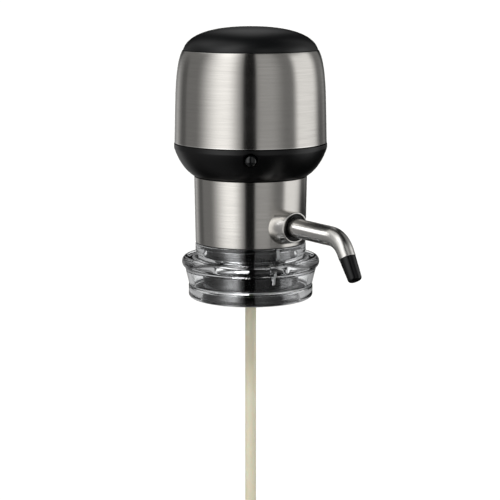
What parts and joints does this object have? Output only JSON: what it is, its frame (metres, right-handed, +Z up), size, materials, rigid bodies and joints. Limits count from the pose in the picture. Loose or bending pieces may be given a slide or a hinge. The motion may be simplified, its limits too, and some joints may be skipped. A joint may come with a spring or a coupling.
{
  "type": "electric wine aerator",
  "caption": "Battery wine aerator: round steel head with a black push cap and bowl, steel neck with a bent spout, clear bayonet collar and a telescopic dip tube.",
  "frame": {"origin": "on the axis of the head and neck, at the height of the seat that rests on the bottle's lip", "axes": "+Z up along the axis of head, neck and dip tube; the small push pip faces -Y; the spout leaves 36 degrees to the right of it, towards +X and -Y"},
  "size_m": [0.0752, 0.0903, 0.2563],
  "materials": {
    "steel_shell": "fine brushing round the axis, satin",
    "soft_black": "smooth, soft sheen",
    "gloss_black": "polished",
    "black_rubber": "matt",
    "clear_plastic": "clear, polished",
    "chassis_black": "moulded, matt",
    "cream_plastic": "smooth",
    "inner_steel": "drawn, satin",
    "cell_jacket": "printed foil jacket, left plain",
    "contact_metal": "stamped sheet",
    "board_green": "solder mask",
    "clear_silicone": "milky, soft",
    "magnet_ferrite": "sintered, matt"
  },
  "bodies": {
    "collar": {"clear_collar": "clear_plastic", "collar_retainer": "clear_plastic", "bottle_bell": "black_rubber", "bottle_gasket": "black_rubber"},
    "neck": {"neck_sleeve": "steel_shell", "neck_base_ring": "black_rubber", "neck_chassis": "chassis_black", "bayonet_ring": "chassis_black", "face_seal": "black_rubber", "bowl": "soft_black", "neck_screw_1": "inner_steel", "neck_screw_2": "inner_steel", "neck_screw_3": "inner_steel", "spout_boss": "steel_shell", "spout_seal": "black_rubber", "flow_elbow": "clear_silicone", "tube_grommet": "black_rubber", "dip_tube_upper": "cream_plastic", "tube_gland": "black_rubber", "check_valve": "clear_silicone", "air_hose": "clear_silicone", "pump_cushion": "black_rubber", "pump_valve_cap": "chassis_black", "pump_diaphragm": "black_rubber", "pump_housing": "chassis_black", "motor_can": "inner_steel", "motor_magnet_1": "magnet_ferrite", "motor_magnet_2": "magnet_ferrite", "motor_end_cap": "chassis_black", "battery_carrier": "chassis_black", "cell_1": "cell_jacket", "cell_2": "cell_jacket", "cell_3": "cell_jacket", "cell_4": "cell_jacket", "cell_5": "cell_jacket", "cell_6": "cell_jacket", "lower_strip_1": "contact_metal", "lower_strip_2": "contact_metal", "lower_strip_3": "contact_metal", "upper_strip_1": "contact_metal", "upper_strip_2": "contact_metal", "end_contact_1": "contact_metal", "end_contact_2": "contact_metal", "contact_board": "board_green", "press_switch": "soft_black"},
    "rotor": {"motor_armature": "inner_steel", "pump_eccentric": "cream_plastic"},
    "head": {"head_sleeve": "steel_shell", "head_liner": "chassis_black", "cap_spring": "inner_steel"},
    "cap": {"push_cap": "soft_black"},
    "pip": {"release_pip": "gloss_black"},
    "spout": {"spout_tube": "steel_shell", "spout_tip": "black_rubber"},
    "lower_tube": {"dip_tube_lower": "cream_plastic", "dip_tube_foot": "black_rubber"}
  },
  "joints": [
    {"name": "collar_twist", "type": "hinge", "parent": "collar", "child": "neck", "pos_m": [0, 0, 0], "axis": [0, 0, 1], "range_deg": [0, 30]},
    {"name": "head_twist", "type": "hinge", "parent": "neck", "child": "head", "pos_m": [0, 0, 0], "axis": [0, 0, 1], "range_deg": [0, 30]},
    {"name": "cap_press", "type": "slide", "parent": "head", "child": "cap", "axis": [0, 0, -1], "range_m": [0, 0.002], "stiffness_N_per_m": 600, "springref_m": -0.0025, "deforming": ["cap_spring"]},
    {"name": "pip_press", "type": "slide", "parent": "neck", "child": "pip", "axis": [0, 1, 0], "range_m": [0, 0.001], "stiffness_N_per_m": 400, "springref_m": -0.002},
    {"name": "spout_swivel", "type": "hinge", "parent": "neck", "child": "spout", "pos_m": [0, 0, 0.0173], "axis": [0.5877, -0.8089, -0.0175], "range_deg": [-90, 90]},
    {"name": "pump_drive", "type": "hinge", "parent": "neck", "child": "rotor", "pos_m": [0, 0, 0], "axis": [0, 0, 1], "continuous": true},
    {"name": "tube_telescope", "type": "slide", "parent": "neck", "child": "lower_tube", "axis": [0, 0, -1], "range_m": [0, 0.125]}
  ]
}
